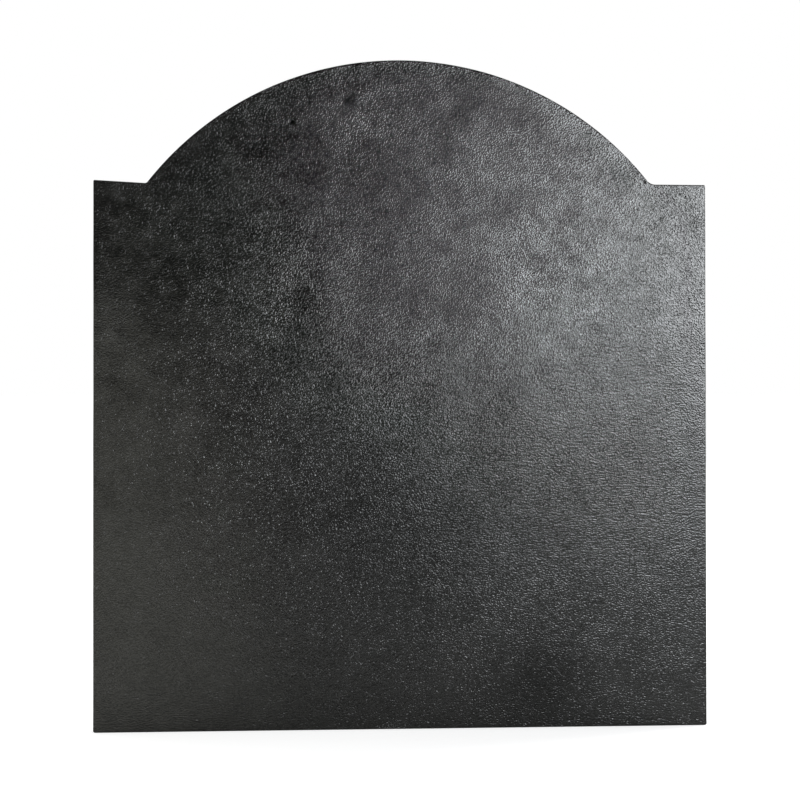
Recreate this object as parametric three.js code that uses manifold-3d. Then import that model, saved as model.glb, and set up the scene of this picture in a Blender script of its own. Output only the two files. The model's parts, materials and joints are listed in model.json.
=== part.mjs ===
// A free-standing fireback: an arched cast iron plate with square shoulders, which leans back a
// little on a folding prop stand. Two hinge brackets are bolted to pads on the plate's back. The
// stand is two flat bar legs joined by a riveted stretcher, and it turns on two pivot bolts.
//
// Millimetres and +Z up. The plate faces -Y, and +X is to the right of someone who looks at it.
// The origin is the middle of the plate's bottom face, where it rests on the hearth.

import * as THREE from "three";
import { mergeVertices } from "three/addons/utils/BufferGeometryUtils.js";
import Module from "manifold-3d";

const wasm = await Module();
wasm.setup();

// ---- Driving dimensions ----

const GAP = 0.3; // left between two faces that touch on the real object
const LEAN = THREE.MathUtils.degToRad(4); // how far the plate leans back from upright
const SPLAY = THREE.MathUtils.degToRad(14); // how far the legs stand back from upright
const OPENING = LEAN + SPLAY; // between the plate and a leg when the stand is open

// The plate: 24 by 26 inches and about half an inch thick.
const PLATE_WIDTH = 610;
const PLATE_THICKNESS = 12;
const SHOULDER_HEIGHT = 541.5; // up the plate, to the square shoulders
const ARCH_RADIUS = 318;
const ARCH_CENTRE_HEIGHT = 345; // so the arch's crown is 663 up the plate
const ARCH_OFFSET = -1; // the arch sits a little left of the middle
const LEFT_LEDGE_DROP = 2.6; // the left shoulder falls away towards the arch
const RIGHT_NOTCH_RADIUS = 10; // where a shoulder meets the arch
const LEFT_NOTCH_RADIUS = 3;
const SHOULDER_CORNER_RADIUS = 1.5;
const BOTTOM_CORNER_RADIUS = 2.2;
const EDGE_DRAFT = LEAN; // the edges taper towards the back, so the bottom is level when it leans
const FRONT_ARRIS = 1.2;
const BACK_ARRIS = 0.5;
const ARCH_STEPS = 72;
const CORNER_STEPS = 6;

// The pads on the back, cast with the plate and faced flat, each with two tapped holes.
const BRACKET_OUT = 170; // from the middle of the plate to the middle of each bracket
const PIVOT_UP = 235; // up the plate, to the stand's pivots
const PAD_HEIGHT = 4;
const PAD_LENGTH = 108;
const PAD_WIDTH = 42;
const TAPPED_DEPTH = 12.5;

// The hinge brackets.
const FLANGE_LENGTH = 102;
const FLANGE_WIDTH = 36;
const FLANGE_THICKNESS = 8;
const FLANGE_EDGE = 1.5;
const BOLT_OUT = 33; // from the middle of a bracket to each of its bolts
const EAR_THICKNESS = 8;
const EAR_SPACE = 10; // between a bracket's two ears
const EAR_RADIUS = 13;
const PIVOT_STANDOFF = 15.5; // from the flange's outer face to the pivot

// The stand.
const LEG_WIDTH = 25;
const LEG_THICKNESS = 8;
const LEG_TOP = 18; // of a leg above its pivot
const LEG_TOP_RADIUS = 12;
const FOOT_LENGTH = 36;
const FOOT_WIDTH = 28;
const FOOT_THICKNESS = 6;
const FOOT_EDGE = 1;
const STRETCHER_UP = 62; // above the hearth
const STRETCHER_DIAMETER = 10;
const TENON_DIAMETER = 8;
const RIVET_HEAD_DIAMETER = 14;
const RIVET_HEAD_HEIGHT = 4;

// The fasteners: thread diameter, head or nut across flats, and their heights.
const BRACKET_BOLT = { diameter: 8, length: 20, flats: 13, head: 5.3 };
const PIVOT_BOLT = { diameter: 10, length: 45, flats: 16, head: 6.4 };
const PIVOT_NUT = { flats: 16, height: 8 };
const BRACKET_WASHER = { outside: 16, inside: 8.8, thickness: 1.6 };
const PIVOT_WASHER = { outside: 20, inside: 10.8, thickness: 2 };
const LOCK_WASHER = { outside: 18, inside: 10.8, thickness: 2.5, slit: 1.6 };
const ROUND_STEPS = 32;

// ---- Finishes ----

const castIron = new THREE.MeshStandardMaterial({
  color: 0x2b2b29,
  roughness: 0.5,
  metalness: 0.2,
});
const blackedSteel = new THREE.MeshStandardMaterial({
  color: 0x252524,
  roughness: 0.42,
  metalness: 0.3,
});
const darkSteel = new THREE.MeshStandardMaterial({
  color: 0x4b4b48,
  roughness: 0.4,
  metalness: 0.9,
});

// ---- Solids ----

function solidOf(geometry) {
  const bare = geometry.index ? geometry.toNonIndexed() : geometry.clone();
  bare.deleteAttribute("normal");
  bare.deleteAttribute("uv");
  const merged = mergeVertices(bare, 1e-4);
  const shell = new wasm.Mesh({
    numProp: 3,
    vertProperties: merged.getAttribute("position").array,
    triVerts: new Uint32Array(merged.index.array),
  });
  return new wasm.Manifold(shell);
}

function geometryOf(solid) {
  const shell = solid.getMesh();
  const geometry = new THREE.BufferGeometry();
  geometry.setAttribute("position", new THREE.BufferAttribute(shell.vertProperties, 3));
  geometry.setIndex(new THREE.BufferAttribute(shell.triVerts, 1));
  geometry.computeVertexNormals();
  return geometry;
}

function named(name, geometry, material) {
  const mesh = new THREE.Mesh(geometry, material);
  mesh.name = name;
  return mesh;
}

// An outline drawn across x and up z, made solid from y = 0 back to y = depth.
function slabBack(shape, depth, edge = 0) {
  const geometry = new THREE.ExtrudeGeometry(shape, {
    depth: depth - 2 * edge,
    curveSegments: 12,
    bevelEnabled: edge > 0,
    bevelThickness: edge,
    bevelSize: edge,
    bevelOffset: -edge,
    bevelSegments: 2,
  });
  return geometry.rotateX(Math.PI / 2).translate(0, depth - edge, 0);
}

// An outline drawn across y and up z, made solid for a width centred on x = 0.
function slabAcross(shape, width) {
  const geometry = new THREE.ExtrudeGeometry(shape, {
    depth: width,
    curveSegments: 8,
    bevelEnabled: false,
  });
  const across = new THREE.Matrix4().makeBasis(
    new THREE.Vector3(0, 1, 0),
    new THREE.Vector3(0, 0, 1),
    new THREE.Vector3(1, 0, 0),
  );
  return geometry.applyMatrix4(across).translate(-width / 2, 0, 0);
}

// A round bar along x, centred on x = 0.
function roundAcross(diameter, length) {
  const radius = diameter / 2;
  return new THREE.CylinderGeometry(radius, radius, length, ROUND_STEPS).rotateZ(Math.PI / 2);
}

// A profile of (radius, height) points turned about z.
function turned(profile, steps = ROUND_STEPS) {
  const points = profile.map(([radius, height]) => new THREE.Vector2(radius, height));
  return new THREE.LatheGeometry(points, steps).rotateX(Math.PI / 2);
}

// A long round-ended outline.
function obround(length, width) {
  const radius = width / 2;
  const reach = length / 2 - radius;
  const shape = new THREE.Shape();
  shape.absarc(reach, 0, radius, -Math.PI / 2, Math.PI / 2, false);
  shape.absarc(-reach, 0, radius, Math.PI / 2, (3 * Math.PI) / 2, false);
  return shape;
}

// ---- The plate ----

function arcPoints(centreX, centreZ, radius, from, to, steps) {
  return Array.from({ length: steps + 1 }, (_, i) => {
    const angle = from + ((to - from) * i) / steps;
    return new THREE.Vector2(
      centreX + radius * Math.cos(angle),
      centreZ + radius * Math.sin(angle),
    );
  });
}

// The face's outline, anticlockwise as it is seen, from the bottom left corner.
function plateOutline() {
  const half = PLATE_WIDTH / 2;
  const right = Math.PI / 2;
  const bottom = BOTTOM_CORNER_RADIUS;
  const corner = SHOULDER_CORNER_RADIUS;

  // A notch's round touches both the level ledge and the arch.
  const notch = (side, radius, ledge) => {
    const up = ledge + radius - ARCH_CENTRE_HEIGHT;
    const out = Math.sqrt((ARCH_RADIUS + radius) ** 2 - up ** 2);
    return {
      x: ARCH_OFFSET + side * out,
      z: ledge + radius,
      radius,
      toArch: Math.atan2(-up, -side * out),
    };
  };
  const rightNotch = notch(1, RIGHT_NOTCH_RADIUS, SHOULDER_HEIGHT);
  const leftNotch = notch(-1, LEFT_NOTCH_RADIUS, SHOULDER_HEIGHT - LEFT_LEDGE_DROP);

  return [
    ...arcPoints(bottom - half, bottom, bottom, 2 * right, 3 * right, CORNER_STEPS),
    ...arcPoints(half - bottom, bottom, bottom, -right, 0, CORNER_STEPS),
    ...arcPoints(half - corner, SHOULDER_HEIGHT - corner, corner, 0, right, CORNER_STEPS),
    ...arcPoints(
      rightNotch.x,
      rightNotch.z,
      rightNotch.radius,
      -right,
      rightNotch.toArch,
      CORNER_STEPS,
    ),
    ...arcPoints(
      ARCH_OFFSET,
      ARCH_CENTRE_HEIGHT,
      ARCH_RADIUS,
      rightNotch.toArch + Math.PI,
      leftNotch.toArch + Math.PI,
      ARCH_STEPS,
    ).slice(1, -1),
    ...arcPoints(
      leftNotch.x,
      leftNotch.z,
      leftNotch.radius,
      leftNotch.toArch,
      -right,
      CORNER_STEPS,
    ),
    ...arcPoints(corner - half, SHOULDER_HEIGHT - corner, corner, right, 2 * right, CORNER_STEPS),
  ];
}

// The outline moved in by a distance, square to each of its edges.
function insetOutline(outline, distance) {
  const count = outline.length;
  return outline.map((point, i) => {
    const before = point.clone().sub(outline[(i + count - 1) % count]).normalize();
    const after = outline[(i + 1) % count].clone().sub(point).normalize();
    const inwards = new THREE.Vector2(-before.y - after.y, before.x + after.x).normalize();
    const stretch = 1 / (inwards.x * -before.y + inwards.y * before.x);
    return point.clone().addScaledVector(inwards, distance * stretch);
  });
}

// The plate as cast: sections of the outline from front to back, joined into one skin.
function castPlate() {
  const outline = plateOutline();
  const draft = Math.tan(EDGE_DRAFT);
  const back = PLATE_THICKNESS;
  const sections = [
    { y: 0, rounding: FRONT_ARRIS },
    { y: 0.3 * FRONT_ARRIS, rounding: 0.3 * FRONT_ARRIS },
    { y: FRONT_ARRIS, rounding: 0 },
    { y: back - BACK_ARRIS, rounding: 0 },
    { y: back, rounding: BACK_ARRIS },
  ].map(({ y, rounding }) => ({
    y,
    points: insetOutline(outline, rounding + (y - FRONT_ARRIS) * draft),
  }));

  const positions = sections.flatMap(({ y, points }) => points.flatMap((p) => [p.x, y, p.y]));
  const count = outline.length;
  const faces = [];
  for (let row = 0; row + 1 < sections.length; row++) {
    for (let i = 0; i < count; i++) {
      const near = row * count + i;
      const nearNext = row * count + ((i + 1) % count);
      faces.push(near, near + count, nearNext, nearNext, near + count, nearNext + count);
    }
  }
  const last = (sections.length - 1) * count;
  for (const [a, b, c] of THREE.ShapeUtils.triangulateShape(sections[0].points, [])) {
    faces.push(a, b, c);
  }
  for (const [a, b, c] of THREE.ShapeUtils.triangulateShape(sections.at(-1).points, [])) {
    faces.push(last + a, last + c, last + b);
  }

  const geometry = new THREE.BufferGeometry();
  geometry.setAttribute("position", new THREE.Float32BufferAttribute(positions, 3));
  geometry.setIndex(faces);
  return geometry;
}

function firebackPlate() {
  const sunk = 2; // of each pad and drill, so that they cut or join cleanly
  const holeDiameter = BRACKET_BOLT.diameter + 2 * GAP;
  let plate = solidOf(castPlate());
  for (const side of [-1, 1]) {
    const pad = slabBack(obround(PAD_LENGTH, PAD_WIDTH), PAD_HEIGHT + sunk, 1);
    pad.translate(side * BRACKET_OUT, PLATE_THICKNESS - sunk, PIVOT_UP);
    plate = plate.add(solidOf(pad));
    for (const end of [-1, 1]) {
      const drill = new THREE.CylinderGeometry(
        holeDiameter / 2,
        holeDiameter / 2,
        TAPPED_DEPTH + sunk,
        ROUND_STEPS,
      );
      drill.translate(
        side * BRACKET_OUT + end * BOLT_OUT,
        PLATE_THICKNESS + PAD_HEIGHT + (sunk - TAPPED_DEPTH) / 2,
        PIVOT_UP,
      );
      plate = plate.subtract(solidOf(drill));
    }
  }
  return geometryOf(plate);
}

// ---- A hinge bracket: its flange's back at y = 0, its middle at x = 0 and z = 0 ----

function hingeBracket() {
  const pivotBack = FLANGE_THICKNESS + PIVOT_STANDOFF;
  const ear = new THREE.Shape();
  ear.moveTo(FLANGE_THICKNESS / 2, -EAR_RADIUS);
  ear.lineTo(pivotBack, -EAR_RADIUS);
  ear.absarc(pivotBack, 0, EAR_RADIUS, -Math.PI / 2, Math.PI / 2, false);
  ear.lineTo(FLANGE_THICKNESS / 2, EAR_RADIUS);
  ear.closePath();

  const flange = slabBack(obround(FLANGE_LENGTH, FLANGE_WIDTH), FLANGE_THICKNESS, FLANGE_EDGE);
  let bracket = solidOf(flange);
  for (const side of [-1, 1]) {
    const earPlate = slabAcross(ear, EAR_THICKNESS);
    earPlate.translate((side * (EAR_SPACE + EAR_THICKNESS)) / 2, 0, 0);
    const radius = BRACKET_BOLT.diameter / 2 + GAP;
    const hole = new THREE.CylinderGeometry(radius, radius, 2 * FLANGE_THICKNESS, ROUND_STEPS);
    hole.translate(side * BOLT_OUT, FLANGE_THICKNESS / 2, 0);
    bracket = bracket.add(solidOf(earPlate)).subtract(solidOf(hole));
  }
  const bore = roundAcross(PIVOT_BOLT.diameter + 2 * GAP, 2 * FLANGE_WIDTH);
  return geometryOf(bracket.subtract(solidOf(bore.translate(0, pivotBack, 0))));
}

// ---- The stand: its pivot at y = 0 and z = 0, in the open position, with level feet ----

// A leg with its foot. The heel, a flat on its top corner, meets the bracket and stops the leg.
function standLeg(pivotHeight) {
  const half = LEG_WIDTH / 2;
  const reach = PIVOT_STANDOFF - GAP; // from the pivot to the heel
  const cos = Math.cos(OPENING);
  const sin = Math.sin(OPENING);
  const length = (pivotHeight - FOOT_THICKNESS / 2) / Math.cos(SPLAY);
  const slant = half * Math.tan(SPLAY); // the bar's end is cut level, inside the foot plate
  const bar = new THREE.Shape();
  bar.moveTo(-half, slant - length);
  bar.lineTo(half, -slant - length);
  bar.lineTo(half, LEG_TOP - LEG_TOP_RADIUS);
  bar.absarc(
    half - LEG_TOP_RADIUS,
    LEG_TOP - LEG_TOP_RADIUS,
    LEG_TOP_RADIUS,
    0,
    Math.PI / 2,
    false,
  );
  bar.lineTo((LEG_TOP * sin - reach) / cos, LEG_TOP);
  bar.lineTo(-half, (reach - half * cos) / sin);
  bar.closePath();

  const foot = new THREE.Shape();
  foot.moveTo(-FOOT_WIDTH / 2, 0);
  foot.lineTo(FOOT_WIDTH / 2, 0);
  foot.lineTo(FOOT_WIDTH / 2, FOOT_THICKNESS - FOOT_EDGE);
  foot.lineTo(FOOT_WIDTH / 2 - FOOT_EDGE, FOOT_THICKNESS);
  foot.lineTo(FOOT_EDGE - FOOT_WIDTH / 2, FOOT_THICKNESS);
  foot.lineTo(-FOOT_WIDTH / 2, FOOT_THICKNESS - FOOT_EDGE);
  foot.closePath();
  const footBack = pivotHeight * Math.tan(SPLAY) - FOOT_LENGTH / 2;
  const footPlate = slabBack(foot, FOOT_LENGTH).translate(0, footBack, -pivotHeight);

  const rivetHole = roundAcross(TENON_DIAMETER + 2 * GAP, 2 * FOOT_WIDTH);
  rivetHole.translate(0, -(STRETCHER_UP - pivotHeight) * Math.tan(SPLAY), STRETCHER_UP - pivotHeight);
  const pivotHole = roundAcross(PIVOT_BOLT.diameter + 2 * GAP, 2 * FOOT_WIDTH);
  const leg = solidOf(slabAcross(bar, LEG_THICKNESS).rotateX(SPLAY))
    .add(solidOf(footPlate))
    .subtract(solidOf(pivotHole))
    .subtract(solidOf(rivetHole));
  return geometryOf(leg);
}

// The stretcher, with a tenon through each leg closed over into a rivet head.
function standStretcher() {
  const shoulder = BRACKET_OUT - LEG_THICKNESS / 2 - GAP;
  const head = BRACKET_OUT + LEG_THICKNESS / 2 + GAP;
  const tenon = TENON_DIAMETER / 2;
  const rivet = RIVET_HEAD_DIAMETER / 2;
  const halfProfile = [
    [0, head + RIVET_HEAD_HEIGHT],
    [0.5 * rivet, head + 0.87 * RIVET_HEAD_HEIGHT],
    [0.87 * rivet, head + 0.5 * RIVET_HEAD_HEIGHT],
    [rivet, head],
    [tenon, head],
    [tenon, shoulder],
    [STRETCHER_DIAMETER / 2, shoulder],
  ];
  const otherHalf = halfProfile.map(([radius, along]) => [radius, -along]);
  return turned([...otherHalf, ...halfProfile.reverse()], 24).rotateY(Math.PI / 2);
}

// ---- Fasteners: the axis is z, the shank points up, and the head's bearing face is z = 0 ----

// A hexagon whose corners are turned off by a shallow cone at z = 0, and at the top if asked.
function chamferedHexagon(flats, height, bothEnds) {
  const corner = flats / Math.sqrt(3);
  const land = 0.475 * flats;
  const slope = (corner - land) * Math.tan(Math.PI / 6);
  const hexagon = new THREE.CylinderGeometry(corner, corner, height, 6);
  const top = bothEnds ? [[corner, height - slope], [land, height]] : [[corner, height]];
  const cone = turned([[0, 0], [land, 0], [corner, slope], ...top, [0, height]], 48);
  hexagon.rotateX(Math.PI / 2).translate(0, 0, height / 2);
  return solidOf(hexagon).intersect(solidOf(cone));
}

function hexBolt({ diameter, length, flats, head }) {
  const radius = diameter / 2;
  const point = 0.12 * diameter;
  const shank = turned([
    [0, -head / 2],
    [radius, -head / 2],
    [radius, length - point],
    [radius - point, length],
    [0, length],
  ]);
  const headSolid = chamferedHexagon(flats, head, false).translate([0, 0, -head]);
  return geometryOf(headSolid.add(solidOf(shank)));
}

function hexNut({ flats, height }, threadDiameter) {
  const radius = threadDiameter / 2 + GAP;
  const bore = new THREE.CylinderGeometry(radius, radius, 2 * height, ROUND_STEPS);
  bore.rotateX(Math.PI / 2).translate(0, 0, height / 2);
  return geometryOf(chamferedHexagon(flats, height, true).subtract(solidOf(bore)));
}

function flatWasher({ outside, inside, thickness }) {
  const edge = 0.2 * thickness;
  const outer = outside / 2;
  const inner = inside / 2;
  return turned([
    [inner, 0],
    [outer - edge, 0],
    [outer, edge],
    [outer, thickness - edge],
    [outer - edge, thickness],
    [inner, thickness],
    [inner, 0],
  ]);
}

// A spring lock washer: a square-section ring with a slanting slit.
function lockWasher({ outside, inside, thickness, slit }) {
  const blade = new THREE.BoxGeometry(outside, slit, 3 * thickness);
  blade.rotateX(Math.PI / 5).translate(outside / 2, 0, thickness / 2);
  const ring = turned([
    [inside / 2, 0],
    [outside / 2, 0],
    [outside / 2, thickness],
    [inside / 2, thickness],
    [inside / 2, 0],
  ]);
  return geometryOf(solidOf(ring).subtract(solidOf(blade)));
}

// ---- Assembly ----

// One bracket with its two bolts and washers, and the pivot bolt, washers and nut through its ears.
// Its origin is the middle of the pad's face.
function bracketGroup(sideName, side) {
  const group = new THREE.Group();
  const bracket = named(`${sideName}_hinge_bracket`, hingeBracket(), castIron);
  bracket.position.y = GAP;
  group.add(bracket);

  const flangeFace = GAP + FLANGE_THICKNESS;
  for (const [place, out] of [["inner", -1], ["outer", 1]]) {
    const stack = new THREE.Group(); // the bolt points forwards into the plate
    stack.position.set(side * out * BOLT_OUT, flangeFace, 0);
    stack.rotation.x = Math.PI / 2;
    const washer = named(`${sideName}_${place}_bracket_washer`, flatWasher(BRACKET_WASHER), darkSteel);
    washer.position.z = -GAP - BRACKET_WASHER.thickness;
    const bolt = named(`${sideName}_${place}_bracket_bolt`, hexBolt(BRACKET_BOLT), darkSteel);
    bolt.position.z = washer.position.z - GAP;
    stack.add(washer, bolt);
    group.add(stack);
  }

  const pivot = new THREE.Group(); // the bolt points inwards, towards the middle of the plate
  pivot.position.y = flangeFace + PIVOT_STANDOFF;
  pivot.rotation.y = (-side * Math.PI) / 2;
  const earFace = EAR_SPACE / 2 + EAR_THICKNESS;
  const washer = named(`${sideName}_pivot_washer`, flatWasher(PIVOT_WASHER), darkSteel);
  washer.position.z = -earFace - GAP - PIVOT_WASHER.thickness;
  const bolt = named(`${sideName}_pivot_bolt`, hexBolt(PIVOT_BOLT), darkSteel);
  bolt.position.z = washer.position.z - GAP;
  const spring = named(`${sideName}_pivot_lock_washer`, lockWasher(LOCK_WASHER), darkSteel);
  spring.position.z = earFace + GAP;
  const nut = named(`${sideName}_pivot_nut`, hexNut(PIVOT_NUT, PIVOT_BOLT.diameter), darkSteel);
  nut.position.z = spring.position.z + LOCK_WASHER.thickness + GAP;
  pivot.add(washer, bolt, spring, nut);
  group.add(pivot);
  return group;
}

function firebackAssembly() {
  const fireback = new THREE.Group();

  const leaning = new THREE.Group(); // the plate and all that is bolted to it
  leaning.rotation.x = -LEAN;
  leaning.position.set(0, -PLATE_THICKNESS / 2, FRONT_ARRIS * Math.sin(LEAN));
  leaning.add(named("fireback_plate", firebackPlate(), castIron));
  fireback.add(leaning);

  const padFace = PLATE_THICKNESS + PAD_HEIGHT;
  const pivot = new THREE.Vector3(0, padFace + GAP + FLANGE_THICKNESS + PIVOT_STANDOFF, PIVOT_UP);
  pivot.applyEuler(leaning.rotation).add(leaning.position);

  const stand = new THREE.Group(); // the legs and what joins them, which turn on the pivot bolts
  stand.position.copy(pivot);
  fireback.add(stand);

  for (const [sideName, side] of [["left", -1], ["right", 1]]) {
    const bracket = bracketGroup(sideName, side);
    bracket.position.set(side * BRACKET_OUT, padFace, PIVOT_UP);
    leaning.add(bracket);
    const leg = named(`${sideName}_leg`, standLeg(pivot.z), blackedSteel);
    leg.position.x = side * BRACKET_OUT;
    stand.add(leg);
  }

  const stretcher = named("stand_stretcher", standStretcher(), blackedSteel);
  const below = pivot.z - STRETCHER_UP;
  stretcher.position.set(0, below * Math.tan(SPLAY), -below);
  stand.add(stretcher);
  return fireback;
}

export default firebackAssembly();
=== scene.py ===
"""A black cast iron fireback on its folding stand, dressed and lit for a portrait.

The plate is recut on a fine grid so that its face can carry the wander and the dents of a sand
casting. The stand's bars, brackets and fasteners get eased edges, welds and threads. Metres, with
Z up, and the plate's face looks along -Y.
"""

import json
import math

import bmesh
import bpy
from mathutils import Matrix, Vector

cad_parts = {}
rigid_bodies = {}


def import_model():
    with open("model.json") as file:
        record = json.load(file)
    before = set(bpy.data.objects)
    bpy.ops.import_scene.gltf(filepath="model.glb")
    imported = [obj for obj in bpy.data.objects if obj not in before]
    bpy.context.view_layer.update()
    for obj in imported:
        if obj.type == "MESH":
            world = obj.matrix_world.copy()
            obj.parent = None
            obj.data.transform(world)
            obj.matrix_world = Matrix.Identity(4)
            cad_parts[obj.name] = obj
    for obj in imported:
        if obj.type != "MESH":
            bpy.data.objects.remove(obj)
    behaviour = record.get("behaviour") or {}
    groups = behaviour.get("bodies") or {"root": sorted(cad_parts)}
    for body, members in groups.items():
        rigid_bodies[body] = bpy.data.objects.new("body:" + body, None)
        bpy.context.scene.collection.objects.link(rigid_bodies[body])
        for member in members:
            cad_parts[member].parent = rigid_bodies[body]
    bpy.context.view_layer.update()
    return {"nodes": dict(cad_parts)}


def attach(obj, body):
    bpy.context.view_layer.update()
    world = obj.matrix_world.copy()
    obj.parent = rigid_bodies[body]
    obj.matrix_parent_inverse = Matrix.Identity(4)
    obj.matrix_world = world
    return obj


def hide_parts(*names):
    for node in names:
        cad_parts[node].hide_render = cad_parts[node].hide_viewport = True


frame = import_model()

MM = 0.001
LEAN = math.radians(4)  # of the plate, back from upright
UP_PLATE = Vector((0, math.sin(LEAN), math.cos(LEAN)))
OUT_OF_FACE = Vector((0, -math.cos(LEAN), math.sin(LEAN)))
FACE_FOOT = Vector((0, -6, 0.08)) * MM  # the middle of the face's bottom edge
PLATE_WIDTH = 610 * MM
PLATE_HEIGHT = 663 * MM
PLATE_THICKNESS = 12 * MM

FACE_PITCH = 5 * MM  # of the cuts over the face, before it is divided once more
BACK_PITCH = 5 * MM

BRACKET_OUT = 170 * MM  # from the middle of the plate to each bracket and leg
PIVOT = (0, 50.1 * MM, 231.74 * MM)
THREAD_DIAMETER = 10 * MM
THREAD_PITCH = 1.5 * MM
THREAD_TIP = 140.6 * MM  # from the middle of the plate to a pivot bolt's end
THREAD_START = THREAD_TIP + 0.13 * THREAD_DIAMETER  # past the plain chamfer at that end
THREAD_CUTS = 6  # half a pitch apart
THREAD_ROOT = 0.86  # the thread's diameter at its root, as a share of the whole
FOOT_TOP = 6 * MM
LEG_FOOT = 106.4 * MM  # behind the origin, the middle of a leg where it stands on its foot
WELD_LENGTH = 23 * MM
WELD_OUT = 4.7 * MM  # from the middle of a leg to the middle of its weld
WELD_UP = 0.4 * MM  # from the foot's top to the middle of its weld
WELD_RIPPLES = 11
RIPPLE_RADII = (2.5 * MM, 2.1 * MM, 2.2 * MM)
RIPPLE_SKEW = 0.25  # radians, at most

NEAR_CUT = 0.1 * MM  # a point this close to a cut is taken as on it
COAT_EDGE = 1.3 * MM  # behind the face, where its black coat ends

# Places on the plate's face, in millimetres across from its middle and up from its foot.
PIT = (-110.3, 600.6)
DARK_SPOT = (-54.0, 622.0)

# ---- Modelling by hand, with the usual tools ----


def on_face(across, up):
    """The point on the plate's face so far to the right of its middle and up from its foot."""
    return FACE_FOOT + Vector((1, 0, 0)) * across * MM + UP_PLATE * up * MM


def pick_up(piece):
    if bpy.context.mode != "OBJECT":
        bpy.ops.object.mode_set(mode="OBJECT")
    bpy.ops.object.select_all(action="DESELECT")
    piece.select_set(True)
    bpy.context.view_layer.objects.active = piece


def select_faces(piece, wanted):
    """In edit mode: selects the faces that wanted(face) is true of, and nothing else."""
    bpy.ops.mesh.select_mode(type="FACE")
    bpy.ops.mesh.select_all(action="DESELECT")
    mesh = bmesh.from_edit_mesh(piece.data)
    for face in mesh.faces:
        if not face.hide and wanted(face):
            face.select_set(True)
    bmesh.update_edit_mesh(piece.data)


def select_points(piece, wanted):
    """In edit mode: selects the points that wanted(place) is true of, and nothing else."""
    bpy.ops.mesh.select_mode(type="VERT")
    bpy.ops.mesh.select_all(action="DESELECT")
    mesh = bmesh.from_edit_mesh(piece.data)
    for point in mesh.verts:
        if not point.hide and wanted(point.co):
            point.select_set(True)
    mesh.select_flush_mode()
    bmesh.update_edit_mesh(piece.data)


def copy_of(node, name):
    """A piece that starts as a CAD node's shape, with its loose triangles joined up."""
    pick_up(frame["nodes"][node])
    bpy.ops.object.duplicate()
    piece = bpy.context.object
    piece.name = name
    piece.data.name = name
    piece.data.materials.clear()
    pick_up(piece)
    bpy.ops.object.parent_clear(type="CLEAR_KEEP_TRANSFORM")
    bpy.ops.object.mode_set(mode="EDIT")
    bpy.ops.mesh.select_all(action="SELECT")
    bpy.ops.mesh.remove_doubles(threshold=0.002 * MM)
    bpy.ops.mesh.dissolve_limited(angle_limit=math.radians(0.5))
    bpy.ops.object.mode_set(mode="OBJECT")
    return piece


def clear_slivers(piece):
    """Joins points that lie on each other, and turns every face outwards."""
    pick_up(piece)
    bpy.ops.object.mode_set(mode="EDIT")
    bpy.ops.mesh.select_all(action="SELECT")
    bpy.ops.mesh.remove_doubles(threshold=0.01 * MM)
    bpy.ops.mesh.dissolve_degenerate(threshold=0.01 * MM)
    bpy.ops.mesh.normals_make_consistent(inside=False)
    bpy.ops.object.mode_set(mode="OBJECT")


def apply_modifier(piece, kind, **settings):
    modifier = piece.modifiers.new(kind.title(), kind)
    for setting, value in settings.items():
        setattr(modifier, setting, value)
    pick_up(piece)
    bpy.ops.object.modifier_apply(modifier=modifier.name)


def fit(piece, body, material, slot, *nodes):
    """Gives a finished piece its finish and sets it on its body."""
    piece.data.materials.append(material)
    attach(piece, body)
    if nodes:
        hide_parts(*nodes)


# ---- Finishes ----

CALM_FROM = 150 * MM  # up the plate, where its clouds begin to gather strength
CALM_TO = 600 * MM
PATCH_LUMPS = 260.0  # to the metre, in the ragged edge of a patch
MOST_WAVER = 12  # millimetres, of that edge
SPECK_BRIGHTER = 2.2  # than the coat where it is lightest
MEAN_BARE = 0.45  # about the mean of what shows bare, as a share of the most
WEAR_PATCHES = 90.0  # to the metre, on steel
SCRATCH_DEPTH = 0.03 * MM


def add_node(tree, kind, column, row, **settings):
    node = tree.nodes.new(kind)
    node.location = (column * 200, row * -220)
    for setting, value in settings.items():
        setattr(node, setting, value)
    return node


def join(tree, source, target):
    tree.links.new(source, target)


def remap(tree, source, column, row, low, high, to_low, to_high):
    """A Map Range node, clamped, from low..high to to_low..to_high."""
    node = add_node(tree, "ShaderNodeMapRange", column, row, clamp=True)
    for name, value in (
        ("From Min", low),
        ("From Max", high),
        ("To Min", to_low),
        ("To Max", to_high),
    ):
        node.inputs[name].default_value = value
    join(tree, source, node.inputs["Value"])
    return node.outputs["Result"]


def blend_colours(tree, mask, column, row, first, second):
    node = add_node(tree, "ShaderNodeMix", column, row, data_type="RGBA")
    join(tree, mask, node.inputs["Factor"])
    for socket, colour in (("A", first), ("B", second)):
        place = [s for s in node.inputs if s.name == socket and s.type == "RGBA"][0]
        if isinstance(colour, bpy.types.NodeSocket):
            join(tree, colour, place)
        else:
            place.default_value = (*colour, 1)
    return [s for s in node.outputs if s.type == "RGBA"][0]


def noise(tree, column, row, place, scale, detail=2.0, roughness=0.5, distortion=0.0):
    node = add_node(tree, "ShaderNodeTexNoise", column, row)
    for name, value in (("Detail", detail), ("Roughness", roughness), ("Distortion", distortion)):
        node.inputs[name].default_value = value
    if isinstance(scale, bpy.types.NodeSocket):
        join(tree, scale, node.inputs["Scale"])
    else:
        node.inputs["Scale"].default_value = scale
    join(tree, place, node.inputs["Vector"])
    return node.outputs["Fac"]


def arithmetic(tree, operation, column, row, first, second):
    node = add_node(tree, "ShaderNodeMath", column, row, operation=operation)
    for place, value in zip(node.inputs, (first, second)):
        if isinstance(value, bpy.types.NodeSocket):
            join(tree, value, place)
        else:
            place.default_value = value
    return node.outputs["Value"]


def average(tree, column, row, first, second):
    return arithmetic(
        tree, "MULTIPLY", column + 1, row, arithmetic(tree, "ADD", column, row, first, second), 0.5
    )


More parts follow.
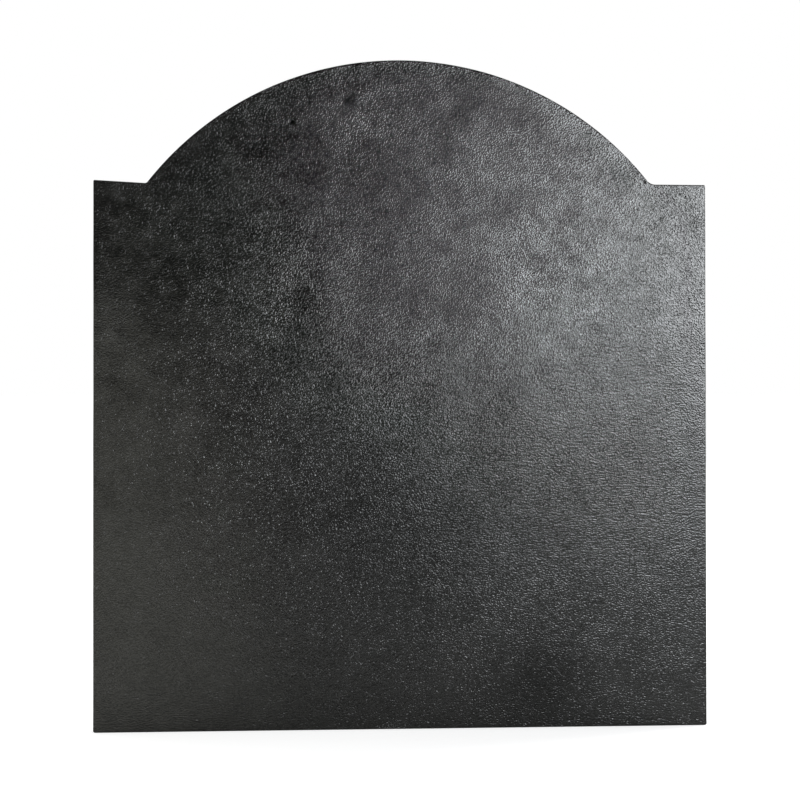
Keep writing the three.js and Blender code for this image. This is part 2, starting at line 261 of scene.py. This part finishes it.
def new_effect(name, inputs, outputs, start=(0, 0, 0)):
    """A node group with named number inputs (name: default) and number outputs. start is where in
    the endless pattern the object's origin lies."""
    group = bpy.data.node_groups.new(name, "ShaderNodeTree")
    for socket, value in inputs.items():
        made = group.interface.new_socket(socket, in_out="INPUT", socket_type="NodeSocketFloat")
        made.default_value = value
    for socket in outputs:
        group.interface.new_socket(socket, in_out="OUTPUT", socket_type="NodeSocketFloat")
    entry = add_node(group, "NodeGroupInput", -5, 0)
    exit_ = add_node(group, "NodeGroupOutput", 4, 0)
    # The pattern is turned out of line with the flat faces, or its lattice shows in them.
    place = add_node(group, "ShaderNodeMapping", -4, 4)
    place.inputs["Location"].default_value = start
    place.inputs["Rotation"].default_value = (0.61, 0.44, 0.72)
    join(group, add_node(group, "ShaderNodeTexCoord", -5, 4).outputs["Object"], place.inputs[0])
    return group, entry, exit_, place.outputs[0]


def sand_grain_effect():
    """The pebbled skin that moulding sand leaves on iron: rounded bumps, with finer ones on them.

    Bumps To The Metre sets their pitch. Height runs from 0 to 1, Tone is how light a grain is,
    and Speck marks the few grains that stand out.
    """
    group, entry, exit_, place = new_effect(
        "sand_grain", {"Bumps To The Metre": 300.0, "Fine Share": 0.3}, ("Height", "Tone", "Speck")
    )
    pitch = entry.outputs["Bumps To The Metre"]
    share = entry.outputs["Fine Share"]
    coarse = noise(group, -3, 0, place, pitch, detail=0.3, roughness=0.5)
    finer_pitch = arithmetic(group, "MULTIPLY", -4, 1, pitch, 2.3)
    fine = noise(group, -3, 1, place, finer_pitch, detail=0.5, roughness=0.5)
    fine_part = arithmetic(group, "MULTIPLY", -1, 1, fine, share)
    height = arithmetic(group, "ADD", 0, 0, coarse, fine_part)
    join(group, height, exit_.inputs["Height"])
    tone = noise(group, -3, 2, place, pitch, detail=1.0, roughness=0.6)
    join(group, remap(group, tone, -1, 2, 0.3, 0.7, 0, 1), exit_.inputs["Tone"])
    speck_pitch = arithmetic(group, "MULTIPLY", -4, 3, pitch, 0.8)
    speck = noise(group, -3, 3, place, speck_pitch, detail=3.0, roughness=0.7)
    join(group, remap(group, speck, -1, 3, 0.66, 0.74, 0, 1), exit_.inputs["Speck"])
    return group


def cloudiness_effect():
    """Slow clouds and patches over a surface, for colour and gloss: Broad and Patchy, 0 to 1."""
    group, entry, exit_, place = new_effect(
        "cloudiness", {"Clouds To The Metre": 18.0}, ("Broad", "Patchy"), start=(2.37, 0.2, 2.1)
    )
    pitch = entry.outputs["Clouds To The Metre"]
    broad = noise(group, -3, 0, place, pitch, detail=3.0, roughness=0.55, distortion=0.4)
    join(group, remap(group, broad, -1, 0, 0.3, 0.7, 0, 1), exit_.inputs["Broad"])
    closer = arithmetic(group, "MULTIPLY", -4, 2, pitch, 3.7)
    patchy = noise(group, -3, 2, place, closer, detail=4.0, roughness=0.6, distortion=0.2)
    join(group, remap(group, patchy, -1, 2, 0.32, 0.68, 0, 1), exit_.inputs["Patchy"])
    return group


SAND_GRAIN = sand_grain_effect()
CLOUDINESS = cloudiness_effect()


def place_effect(tree, group, column, row, **values):
    node = add_node(tree, "ShaderNodeGroup", column, row, node_tree=group)
    for name, value in values.items():
        node.inputs[name.replace("_", " ")].default_value = value
    return node.outputs


def calmed(tree, mask, share_at_foot):
    """A mask that keeps only a share of its swing about 0.5 near the object's foot, and all of it
    from CALM_TO up."""
    parts = add_node(tree, "ShaderNodeSeparateXYZ", -7, 4)
    join(tree, add_node(tree, "ShaderNodeTexCoord", -8, 4).outputs["Object"], parts.inputs[0])
    share = remap(tree, parts.outputs["Z"], -6, 4, CALM_FROM, CALM_TO, share_at_foot, 1)
    swing = arithmetic(tree, "SUBTRACT", -6, 3, mask, 0.5)
    return arithmetic(tree, "ADD", -5, 3, arithmetic(tree, "MULTIPLY", -5, 4, swing, share), 0.5)


def patched(tree, mask, patches):
    """Lowers or raises a mask inside ragged round patches of the plate's face, by a share.

    A patch is (across, up, width, softness, share), in millimetres on the face, and a share of -1
    brings the mask down to nothing.
    """
    place = add_node(tree, "ShaderNodeTexCoord", -9, 6).outputs["Object"]
    ragged = noise(tree, -9, 7, place, PATCH_LUMPS)
    for row, (across, up, width, softness, share) in enumerate(patches, start=6):
        away = add_node(tree, "ShaderNodeVectorMath", -8, row, operation="DISTANCE")
        join(tree, place, away.inputs[0])
        away.inputs[1].default_value = on_face(across, up)
        waver = min(width, MOST_WAVER)
        wavering = arithmetic(tree, "MULTIPLY_ADD", -7, row, ragged, -waver * MM)
        join(tree, away.outputs["Value"], wavering.node.inputs[2])
        edge = (width - waver) / 2
        inner, outer = (edge - softness) * MM, (edge + softness) * MM
        change = remap(tree, wavering, -6, row, inner, outer, 1 + share, 1)
        mask = arithmetic(tree, "MULTIPLY", -5, row, mask, change)
    return mask


def new_material(name):
    material = bpy.data.materials.new(name)
    material.use_nodes = True
    return material, material.node_tree, material.node_tree.nodes["Principled BSDF"]


def add_bumps(tree, shader, height, depth):
    """Bumps in a surface's shading, depth metres high where height goes from 0 to 1."""
    bump = add_node(tree, "ShaderNodeBump", -2, 4)
    bump.inputs["Strength"].default_value = 1.0
    bump.inputs["Distance"].default_value = depth
    join(tree, height, bump.inputs["Height"])
    join(tree, bump.outputs["Normal"], shader.inputs["Normal"])


def iron(
    name,
    dark,
    light,
    gloss,
    grain,
    grain_depth,
    fine_share,
    clouds,
    bare_share=0.0,
    calm_at_foot=1.0,
    patches=(),
    tint=None,
    tint_share=0.0,
):
    """Cast iron under a thin coat of heat-proof black.

    dark and light are the colours that the coat drifts between, gloss the least and most
    roughness, grain the bumps to the metre, and grain_depth their height in millimetres. tint is
    a colour that patches of the surface take.
    """
    material, tree, shader = new_material(name)
    cloud = place_effect(tree, CLOUDINESS, -6, 0, Clouds_To_The_Metre=clouds)
    sand = place_effect(tree, SAND_GRAIN, -6, 2, Bumps_To_The_Metre=grain, Fine_Share=fine_share)

    drift = average(tree, -6, 1, cloud["Broad"], cloud["Patchy"])
    if calm_at_foot < 1:
        drift = calmed(tree, drift, calm_at_foot)
    coat_and_painted_light = average(tree, -4, 1, sand["Tone"], remap(tree, drift, -5, 2, 0.2, 0.8, 0, 1))
    # On the face these patches paint shade and light into the coat's colour and into how much it
    # mirrors.
    if patches:
        coat_and_painted_light = patched(tree, coat_and_painted_light, patches)
    colour = blend_colours(tree, coat_and_painted_light, -4, 0, dark, light)
    if tint:
        stain = remap(tree, cloud["Patchy"], -4, 1, 1 - tint_share, 1.0, 0, 0.8)
        colour = blend_colours(tree, stain, -3, 0, colour, tint)
    bright = tuple(SPECK_BRIGHTER * channel for channel in light)
    colour = blend_colours(tree, sand["Speck"], -2, 0, colour, bright)
    join(tree, colour, shader.inputs["Base Color"])

    if bare_share:
        # Bare, sooty iron shows through the coat in dots, and mirrors less than the coat does.
        # The coat gets more gloss than the usual 0.5, to make up for what those dots take away.
        join(tree, remap(tree, coat_and_painted_light, -2, 1, 0, 1, bare_share, 0), shader.inputs["Metallic"])
        shader.inputs["Specular IOR Level"].default_value = 0.5 / (1 - MEAN_BARE * bare_share)

    roughness = remap(tree, drift, -2, 2, 0.15, 0.85, *gloss)
    join(tree, roughness, shader.inputs["Roughness"])
    add_bumps(tree, shader, sand["Height"], grain_depth * MM)
    return material


def steel(name, colour, rubbed, roughness, metallic, scratch_pitch):
    """Steel bar or fasteners, with a thin dark coat that is rubbed and marked by handling."""
    material, tree, shader = new_material(name)
    cloud = place_effect(tree, CLOUDINESS, -6, 0, Clouds_To_The_Metre=WEAR_PATCHES)
    sand = place_effect(tree, SAND_GRAIN, -6, 2, Bumps_To_The_Metre=scratch_pitch, Fine_Share=0.8)
    worn = remap(tree, cloud["Patchy"], -4, 0, 0.55, 1.0, 0, 0.6)
    join(tree, blend_colours(tree, worn, -2, 0, colour, rubbed), shader.inputs["Base Color"])
    drift = remap(tree, cloud["Broad"], -4, 2, 0, 1, roughness - 0.06, roughness + 0.08)
    join(tree, drift, shader.inputs["Roughness"])
    shader.inputs["Metallic"].default_value = metallic
    add_bumps(tree, shader, sand["Height"], SCRATCH_DEPTH)
    return material


# Patches where the face's coat is darker or lighter: painted shade in the pit, a dark spot, and
# painted shade and painted light over broad regions of the face. Each row is a patch as patched()
# takes it.
FACE_SPOTS_AND_PAINTED_LIGHT = (
    # painted shade in the pit: its coat blackened and made to mirror less
    (*PIT, 5.5, 1.0, -1.0),
    # a dark spot, with a shallow dent in it, and a softer dark patch beside it
    (*DARK_SPOT, 11.0, 3.0, -1.0),
    (-59.0, 610.0, 14.0, 7.0, -0.6),
    # darker and lighter regions of the face's coat: painted shade and painted light
    (67.0, 624.0, 22.0, 11.0, -0.5),
    (136.0, 45.0, 80.0, 35.0, -0.5),
    (17.0, 187.0, 110.0, 50.0, -0.35),
    (-73.0, 246.0, 80.0, 35.0, -0.2),
    (57.0, 605.0, 70.0, 30.0, -0.2),
    (-196.0, 544.0, 40.0, 20.0, -0.3),
    (-43.0, 583.0, 50.0, 25.0, 0.6),
    (-90.0, 439.0, 100.0, 45.0, 0.5),
    (137.0, 440.0, 100.0, 40.0, 0.5),
    (-3.0, 370.0, 70.0, 30.0, 0.5),
    (-288.0, 375.0, 50.0, 30.0, 0.3),
)

FACE_IRON = iron(
    "face_iron",
    dark=(0.0018, 0.0018, 0.0014),
    light=(0.0100, 0.0099, 0.0078),
    gloss=(0.13, 0.21),
    grain=730.0,
    grain_depth=0.292,
    fine_share=0.1,
    clouds=16.0,
    bare_share=0.85,
    calm_at_foot=0.2,
    patches=FACE_SPOTS_AND_PAINTED_LIGHT,
)
BACK_IRON = iron(
    "back_iron",
    dark=(0.020, 0.019, 0.0175),
    light=(0.040, 0.038, 0.0345),
    gloss=(0.42, 0.58),
    grain=240.0,
    grain_depth=0.9,
    fine_share=0.45,
    clouds=14.0,
    tint=(0.052, 0.034, 0.024),
    tint_share=0.30,
)
BRACKET_IRON = iron(
    "bracket_iron",
    dark=(0.013, 0.0125, 0.0115),
    light=(0.026, 0.025, 0.0235),
    gloss=(0.42, 0.55),
    grain=520.0,
    grain_depth=0.35,
    fine_share=0.35,
    clouds=45.0,
)
BAR_BLACK = steel(
    "bar_black",
    colour=(0.012, 0.012, 0.011),
    rubbed=(0.045, 0.042, 0.038),
    roughness=0.40,
    metallic=0.0,
    scratch_pitch=900.0,
)
BOLT_STEEL = steel(
    "bolt_steel",
    colour=(0.10, 0.098, 0.094),
    rubbed=(0.26, 0.25, 0.24),
    roughness=0.34,
    metallic=1.0,
    scratch_pitch=1400.0,
)

# ---- The plate ----


def wander(name, size, depth):
    """A slow cloud texture, to push a surface about by."""
    texture = bpy.data.textures.new(name, "CLOUDS")
    texture.noise_scale = size * MM
    texture.noise_depth = depth
    return texture


def push_in(piece, group, texture, deepest):
    """Pushes the points of a group inwards, by up to deepest millimetres."""
    apply_modifier(
        piece,
        "DISPLACE",
        texture=texture,
        texture_coords="LOCAL",
        direction="NORMAL",
        mid_level=1.0,
        strength=deepest * MM,
        vertex_group=group,
    )


def cut_grid(pitch):
    """In edit mode: cuts all that isn't hidden into squares, square to the plate's edges."""
    columns = int(PLATE_WIDTH / 2 / pitch)
    for i in range(-columns, columns + 1):
        bpy.ops.mesh.select_all(action="SELECT")
        place = (i * pitch, 0, 0)
        bpy.ops.mesh.bisect(plane_co=place, plane_no=(1, 0, 0), threshold=NEAR_CUT)
    for i in range(1, int(PLATE_HEIGHT / pitch) + 1):
        bpy.ops.mesh.select_all(action="SELECT")
        place = FACE_FOOT + UP_PLATE * i * pitch
        bpy.ops.mesh.bisect(plane_co=place, plane_no=UP_PLATE, threshold=NEAR_CUT)


def depth_of(place):
    """How far behind the face's own plane a point lies."""
    return (FACE_FOOT - place).dot(OUT_OF_FACE)


def is_front(face):
    return face.normal.dot(OUT_OF_FACE) > 0.999 and depth_of(face.calc_center_median()) < 0.1 * MM


def is_back(face):
    return depth_of(face.calc_center_median()) > PLATE_THICKNESS - 0.1 * MM


def on_flat_back(place):
    return abs(depth_of(place) - PLATE_THICKNESS) < 0.1 * MM


def on_rim(place):
    """True of the plate's edges above its foot, and of nothing well inside its outline."""
    between_faces = 0.3 * MM < depth_of(place) < PLATE_THICKNESS - 0.3 * MM
    inside_outline = 20 * MM < place.z < 500 * MM and abs(place.x) < 300 * MM
    return between_faces and place.z > 4 * MM and not inside_outline


def name_group(piece, name, wanted):
    piece.vertex_groups.new(name=name)
    piece.vertex_groups.active = piece.vertex_groups[name]
    bpy.ops.object.mode_set(mode="EDIT")
    select_points(piece, wanted)
    bpy.ops.object.vertex_group_assign()
    bpy.ops.object.mode_set(mode="OBJECT")


def dent(piece, across, up, width, depth, rings):
    """Presses a round dent of a width and depth in millimetres into the face, after dividing the
    faces there by so many cuts."""
    middle = on_face(across, up)
    bpy.ops.object.mode_set(mode="EDIT")
    select_faces(
        piece,
        lambda face: (face.calc_center_median() - middle).length < width * MM
        and depth_of(face.calc_center_median()) < 2 * MM,
    )
    bpy.ops.mesh.subdivide(number_cuts=rings, ngon=False)
    select_points(piece, lambda place: (place - middle).length < 0.25 * width * MM)
    bpy.ops.transform.translate(
        value=-OUT_OF_FACE * depth * MM,
        use_proportional_edit=True,
        proportional_edit_falloff="SMOOTH",
        proportional_size=0.5 * width * MM,
    )
    bpy.ops.object.mode_set(mode="OBJECT")


def plate_casting():
    plate = copy_of("fireback_plate", "plate_casting")
    pick_up(plate)
    bpy.ops.object.mode_set(mode="EDIT")
    select_faces(plate, is_back)
    bpy.ops.mesh.hide()
    cut_grid(FACE_PITCH)
    bpy.ops.mesh.reveal(select=False)
    select_faces(plate, lambda face: not is_back(face))
    bpy.ops.mesh.hide()
    cut_grid(BACK_PITCH)
    bpy.ops.mesh.reveal(select=False)
    select_faces(plate, is_front)
    bpy.ops.mesh.subdivide(number_cuts=1)
    bpy.ops.object.mode_set(mode="OBJECT")

    name_group(plate, "face", lambda place: depth_of(place) < 0.05 * MM)
    name_group(plate, "back", on_flat_back)
    name_group(plate, "rim", on_rim)
    push_in(plate, "face", wander("face_swell", 70, 1), 0.5)
    push_in(plate, "face", wander("face_ripple", 17, 1), 0.10)
    push_in(plate, "back", wander("back_swell", 45, 1), 0.5)
    push_in(plate, "back", wander("back_lumps", 14, 2), 0.45)
    push_in(plate, "rim", wander("rim_wander", 60, 1), 0.3)
    dent(plate, *PIT, width=5.0, depth=0.6, rings=3)
    dent(plate, *DARK_SPOT, width=16.0, depth=0.15, rings=1)

    clear_slivers(plate)
    bpy.ops.object.shade_smooth_by_angle(angle=math.radians(50))
    fit(plate, "plate", FACE_IRON, "cast_iron", "fireback_plate")
    plate.data.materials.append(BACK_IRON)
    for face in plate.data.polygons:
        face.material_index = int(depth_of(face.center) > COAT_EDGE)


# ---- The brackets, the stand and the fasteners ----


def eased(node, name, edge, steps=2):
    """A CAD node's shape with its sharp edges taken off, by so many millimetres."""
    piece = copy_of(node, name)
    apply_modifier(
        piece,
        "BEVEL",
        width=edge * MM,
        segments=steps,
        limit_method="ANGLE",
        angle_limit=math.radians(32),
        use_clamp_overlap=True,
    )
    clear_slivers(piece)
    bpy.ops.object.shade_smooth_by_angle(angle=math.radians(40))
    return piece


def cut_thread(piece, sign):
    """Cuts the thread in a pivot bolt's end, where it stands out of its nut."""
    axis = Vector(PIVOT)
    slant = math.tan(THREAD_PITCH / (math.pi * THREAD_DIAMETER))
    across = Vector((1, 0, slant * sign))
    cuts = [THREAD_START + i * THREAD_PITCH / 2 for i in range(THREAD_CUTS)]
    pick_up(piece)
    bpy.ops.object.mode_set(mode="EDIT")
    for out in cuts:
        axis.x = sign * out
        bpy.ops.mesh.select_all(action="SELECT")
        bpy.ops.mesh.bisect(plane_co=axis, plane_no=across, threshold=1e-6)
    for out in cuts[1::2]:
        axis.x = sign * out
        select_points(piece, lambda place: abs((place - axis).dot(across)) < 0.003 * MM)
        bpy.ops.transform.resize(value=(1, THREAD_ROOT, THREAD_ROOT), center_override=axis)
    bpy.ops.object.mode_set(mode="OBJECT")
    bpy.ops.object.shade_smooth_by_angle(angle=math.radians(40))


def weld_beads(side, sign):
    """The fillet weld along both sides of a leg, where it stands on its foot."""
    beads = []
    for out in (-1, 1):
        for i in range(WELD_RIPPLES):
            along = (i / (WELD_RIPPLES - 1) - 0.5) * WELD_LENGTH
            across = sign * BRACKET_OUT + out * WELD_OUT
            place = (across, LEG_FOOT + along, FOOT_TOP + WELD_UP)
            bpy.ops.mesh.primitive_uv_sphere_add(segments=12, ring_count=8, location=place)
            bead = bpy.context.object
            bead.scale = RIPPLE_RADII
            bead.rotation_euler = (0, 0, RIPPLE_SKEW * math.sin(5 * i + out))
            beads.append(bead)
    bpy.ops.object.select_all(action="DESELECT")
    for bead in beads:
        bead.select_set(True)
    bpy.context.view_layer.objects.active = beads[0]
    bpy.ops.object.join()
    weld = bpy.context.object
    weld.name = f"{side}_foot_weld"
    weld.data.name = weld.name
    bpy.ops.object.transform_apply(location=True, rotation=True, scale=True)
    bpy.ops.object.shade_smooth()
    fit(weld, "stand", BAR_BLACK, "black_bar")


def dress_the_rest():
    for side, sign in (("left", -1), ("right", 1)):
        bracket = eased(f"{side}_hinge_bracket", f"{side}_bracket_casting", 1.0, 3)
        fit(bracket, "plate", BRACKET_IRON, "cast_iron", f"{side}_hinge_bracket")
        leg = eased(f"{side}_leg", f"{side}_leg_bar", 0.6)
        fit(leg, "stand", BAR_BLACK, "black_bar", f"{side}_leg")
        weld_beads(side, sign)
        for fastener in (
            "inner_bracket_bolt",
            "outer_bracket_bolt",
            "inner_bracket_washer",
            "outer_bracket_washer",
            "pivot_bolt",
            "pivot_washer",
            "pivot_lock_washer",
            "pivot_nut",
        ):
            node = f"{side}_{fastener}"
            piece = eased(node, f"{node}_finished", 0.2)
            if fastener == "pivot_bolt":
                cut_thread(piece, sign)
            fit(piece, "plate", BOLT_STEEL, "dark_steel", node)
    stretcher = eased("stand_stretcher", "stretcher_rod", 0.3)
    fit(stretcher, "stand", BAR_BLACK, "black_bar", "stand_stretcher")


# ---- The studio ----

ROOM_BEFORE = 0.16  # brightness of the room before the plate, which its face mirrors
ROOM_BEHIND = 1.0
ROOM_ABOVE = 1.2
FLOOR_WIDTH = 12
FLOOR_DROP = 0.2 * MM  # so that it doesn't lie in the plane of the object's underside
FLOOR_GREY = (0.55, 0.55, 0.55, 1)
FLOOR_GLOW = 0.57  # to the camera, so that the lit floor is white and the shadow on it shows
PLATE_MIDDLE = (0, 0.017, 0.33)
CAMERA_PLACE = (-0.21271, -2.28177, 0.45552)  # fitted to the plate's edges in the photo
CAMERA_TURN = (86.7564, -0.2924, -5.1914)  # degrees


def camera_rays_white(tree, strength, column, row):
    """White light that only the camera's own rays meet."""
    seen = add_node(tree, "ShaderNodeLightPath", column, row).outputs["Is Camera Ray"]
    return arithmetic(tree, "MULTIPLY", column + 1, row, seen, strength)


def lay_floor():
    bpy.ops.mesh.primitive_plane_add(size=FLOOR_WIDTH, location=(0, 0, -FLOOR_DROP))
    floor = bpy.context.object
    floor.name = "studio_floor"
    material = bpy.data.materials.new("pale_floor")
    material.use_nodes = True
    tree = material.node_tree
    tree.nodes.clear()
    paper = add_node(tree, "ShaderNodeBsdfDiffuse", 0, 0)
    paper.inputs["Color"].default_value = FLOOR_GREY
    glow = add_node(tree, "ShaderNodeEmission", 0, 1)
    join(tree, camera_rays_white(tree, FLOOR_GLOW, -3, 1), glow.inputs["Strength"])
    both = add_node(tree, "ShaderNodeAddShader", 1, 0)
    join(tree, paper.outputs[0], both.inputs[0])
    join(tree, glow.outputs[0], both.inputs[1])
    output = add_node(tree, "ShaderNodeOutputMaterial", 2, 0)
    join(tree, both.outputs[0], output.inputs["Surface"])
    floor.data.materials.append(material)


def white_room():
    """White to the camera. To all else the room is dim before the plate, and white above it and
    behind it."""
    world = bpy.data.worlds.new("white_room")
    bpy.context.scene.world = world
    world.use_nodes = True
    tree = world.node_tree
    background = tree.nodes["Background"]
    background.inputs["Color"].default_value = (1, 1, 1, 1)
    way = add_node(tree, "ShaderNodeTexCoord", -6, 2).outputs["Generated"]
    parts = add_node(tree, "ShaderNodeSeparateXYZ", -5, 2)
    join(tree, way, parts.inputs[0])
    room = remap(tree, parts.outputs["Y"], -4, 2, -0.6, -0.1, ROOM_BEFORE, ROOM_BEHIND)
    ceiling = remap(tree, parts.outputs["Z"], -4, 3, 0.7, 0.95, 0, ROOM_ABOVE)
    lit = arithmetic(tree, "MAXIMUM", -2, 2, room, ceiling)
    seen = camera_rays_white(tree, 1.0, -4, 0)
    join(tree, arithmetic(tree, "MAXIMUM", -1, 0, seen, lit), background.inputs["Strength"])


def softbox(name, place, width, height, brightness, colour):
    """A softbox whose front is a rectangle of an even brightness, aimed at the plate."""
    lamp = bpy.data.lights.new(name, "AREA")
    lamp.shape = "RECTANGLE"
    lamp.size = width
    lamp.size_y = height
    lamp.energy = brightness * math.pi * width * height
    lamp.color = colour
    holder = bpy.data.objects.new(name, lamp)
    holder.location = place
    towards = Vector(PLATE_MIDDLE) - Vector(place)
    holder.rotation_euler = towards.to_track_quat("-Z", "Y").to_euler()
    holder.visible_camera = False
    bpy.context.scene.collection.objects.link(holder)


def set_camera():
    camera = bpy.data.cameras.new("portrait_camera")
    camera.lens = 105
    camera.sensor_width = 36
    holder = bpy.data.objects.new("portrait_camera", camera)
    holder.location = CAMERA_PLACE
    holder.rotation_euler = [math.radians(turn) for turn in CAMERA_TURN]
    bpy.context.scene.collection.objects.link(holder)
    bpy.context.scene.camera = holder


plate_casting()
dress_the_rest()
bpy.ops.object.select_all(action="DESELECT")
lay_floor()
white_room()
softbox(
    "key_softbox",
    place=(1.20, -2.334, 0.925),
    width=1.47,
    height=0.75,
    brightness=13.7,
    colour=(0.965, 1.0, 1.04),
)
softbox(
    "low_card",
    place=(-0.373, -0.308, 0.205),
    width=0.60,
    height=0.58,
    brightness=0.70,
    colour=(1.0, 1.0, 0.89),
)
softbox(
    "back_fill",
    place=(1.9, 1.3, 1.2),
    width=1.4,
    height=1.2,
    brightness=14.0,
    colour=(1.0, 1.0, 1.0),
)
set_camera()

bpy.context.scene.view_settings.view_transform = "Standard"
